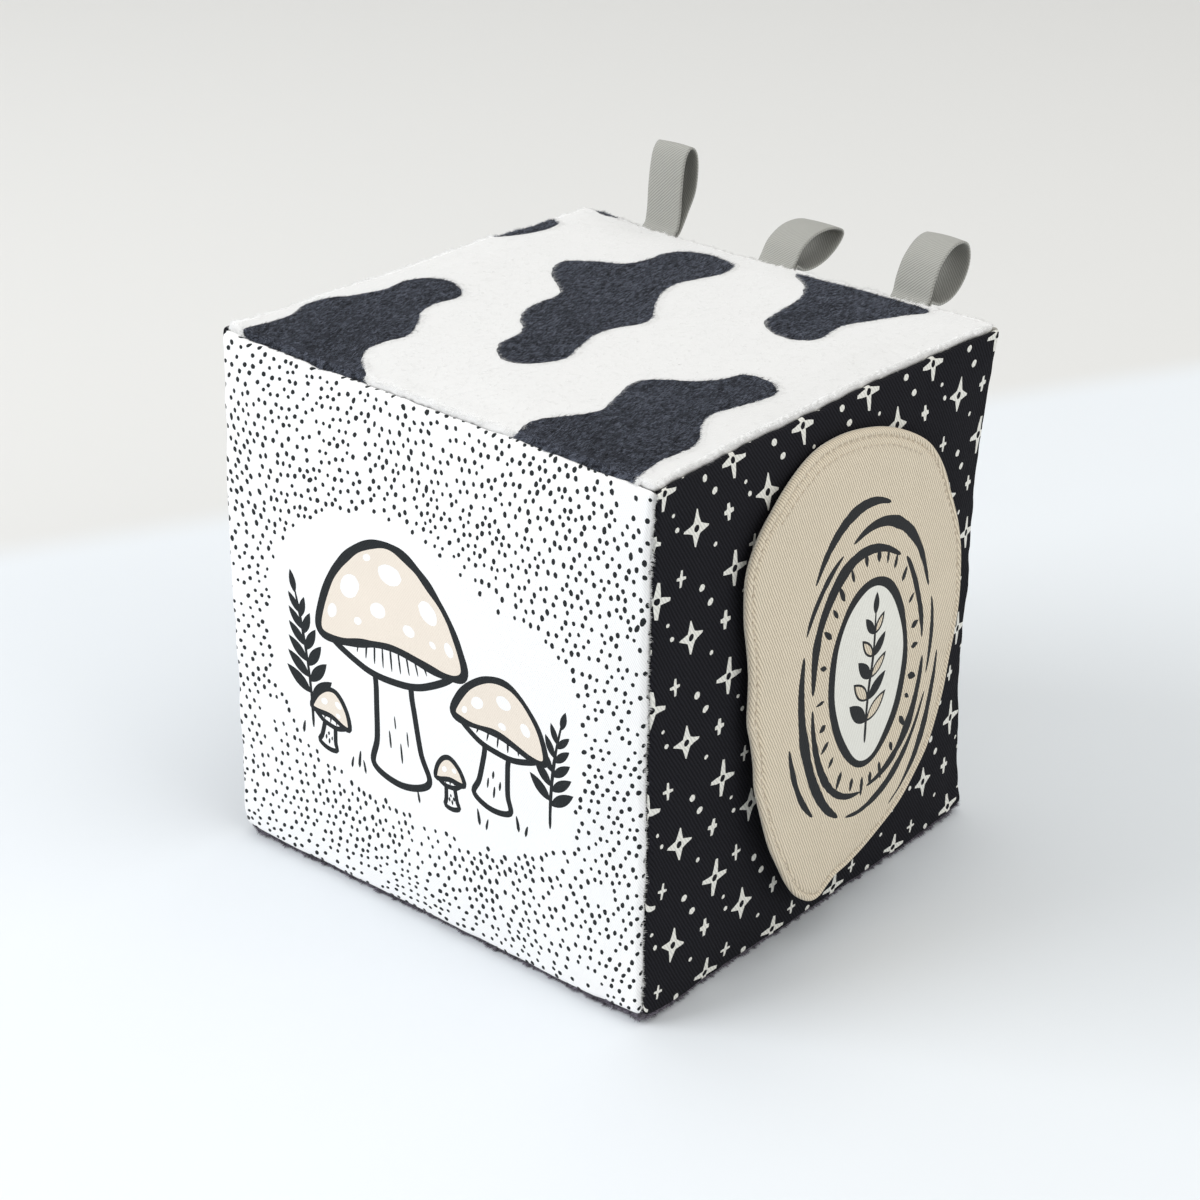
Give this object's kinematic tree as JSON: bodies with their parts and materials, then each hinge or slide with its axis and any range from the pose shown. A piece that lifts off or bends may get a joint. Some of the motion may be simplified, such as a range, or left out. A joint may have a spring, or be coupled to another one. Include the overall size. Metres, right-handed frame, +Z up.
{
  "type": "soft fabric block",
  "caption": "Soft cube-shaped baby block: printed twill sides, plush top, foam core, a peek flap sewn on one side and ribbon loops in a top seam.",
  "frame": {"origin": "centre of the flat face of the base panel that the block rests on", "axes": "+Z up through the plush top, -Y out of the dotted front panel, +X out of the star panel with the flap"},
  "size_m": [0.1628, 0.1748, 0.1819],
  "materials": {
    "plush": "cut pile, white with bluish-black wavy patches",
    "dotted_twill": "matt printed twill, small black dots",
    "star_twill": "matt black twill, printed white four-point stars",
    "grey_twill": "matt twill",
    "black_twill": "matt twill",
    "base_pile": "short fuzzy pile",
    "foam": "open-cell foam",
    "capsule_plastic": "moulded, satin",
    "pellet_plastic": "moulded",
    "crinkle_film": "thin crinkled film",
    "tan_twill": "matt twill, printed",
    "cream_twill": "matt twill",
    "tan_thread": "spun thread",
    "black_thread": "spun thread",
    "ribbon": "woven cotton tape"
  },
  "bodies": {
    "block": {"top_plush_panel": "plush", "front_dotted_panel": "dotted_twill", "right_star_panel": "star_twill", "back_panel": "grey_twill", "left_panel": "black_twill", "base_panel": "base_pile", "foam_core_lower": "foam", "foam_core_upper": "foam", "rattle_shell_lower": "capsule_plastic", "rattle_shell_upper": "capsule_plastic", "left_crinkle_film": "crinkle_film", "flap_top_hem": "tan_twill", "flap_attach_stitch": "tan_thread", "closing_stitch": "black_thread"},
    "flap": {"flap_face": "tan_twill", "flap_crinkle_film": "crinkle_film", "flap_backing": "cream_twill", "flap_edge_stitch": "tan_thread"},
    "rattle_pellet": {"rattle_ball": "pellet_plastic"},
    "loop_left": {"ribbon_loop_left": "ribbon"},
    "loop_middle": {"ribbon_loop_middle": "ribbon"},
    "loop_right": {"ribbon_loop_right": "ribbon"}
  },
  "joints": [
    {"name": "flap_lift", "type": "hinge", "parent": "block", "child": "flap", "pos_m": [0.0801, 0, 0.1375], "axis": [0, -1, 0], "range_deg": [0, 165]},
    {"name": "rattle_travel", "type": "slide", "parent": "block", "child": "rattle_pellet", "axis": [0, 0, 1], "range_m": [0, 0.0215]},
    {"name": "loop_left_bend", "type": "hinge", "parent": "block", "child": "loop_left", "pos_m": [-0.04494, 0.07508, 0.15606], "axis": [1, 0, 0], "range_deg": [-60, 50], "stiffness_Nm_per_rad": 0.0006},
    {"name": "loop_middle_bend", "type": "hinge", "parent": "block", "child": "loop_middle", "pos_m": [-0.0005, 0.0744, 0.15595], "axis": [1, 0, 0], "range_deg": [-40, 80], "stiffness_Nm_per_rad": 0.0006},
    {"name": "loop_right_bend", "type": "hinge", "parent": "block", "child": "loop_right", "pos_m": [0.04594, 0.07511, 0.15607], "axis": [1, 0, 0], "range_deg": [-50, 70], "stiffness_Nm_per_rad": 0.0006}
  ]
}
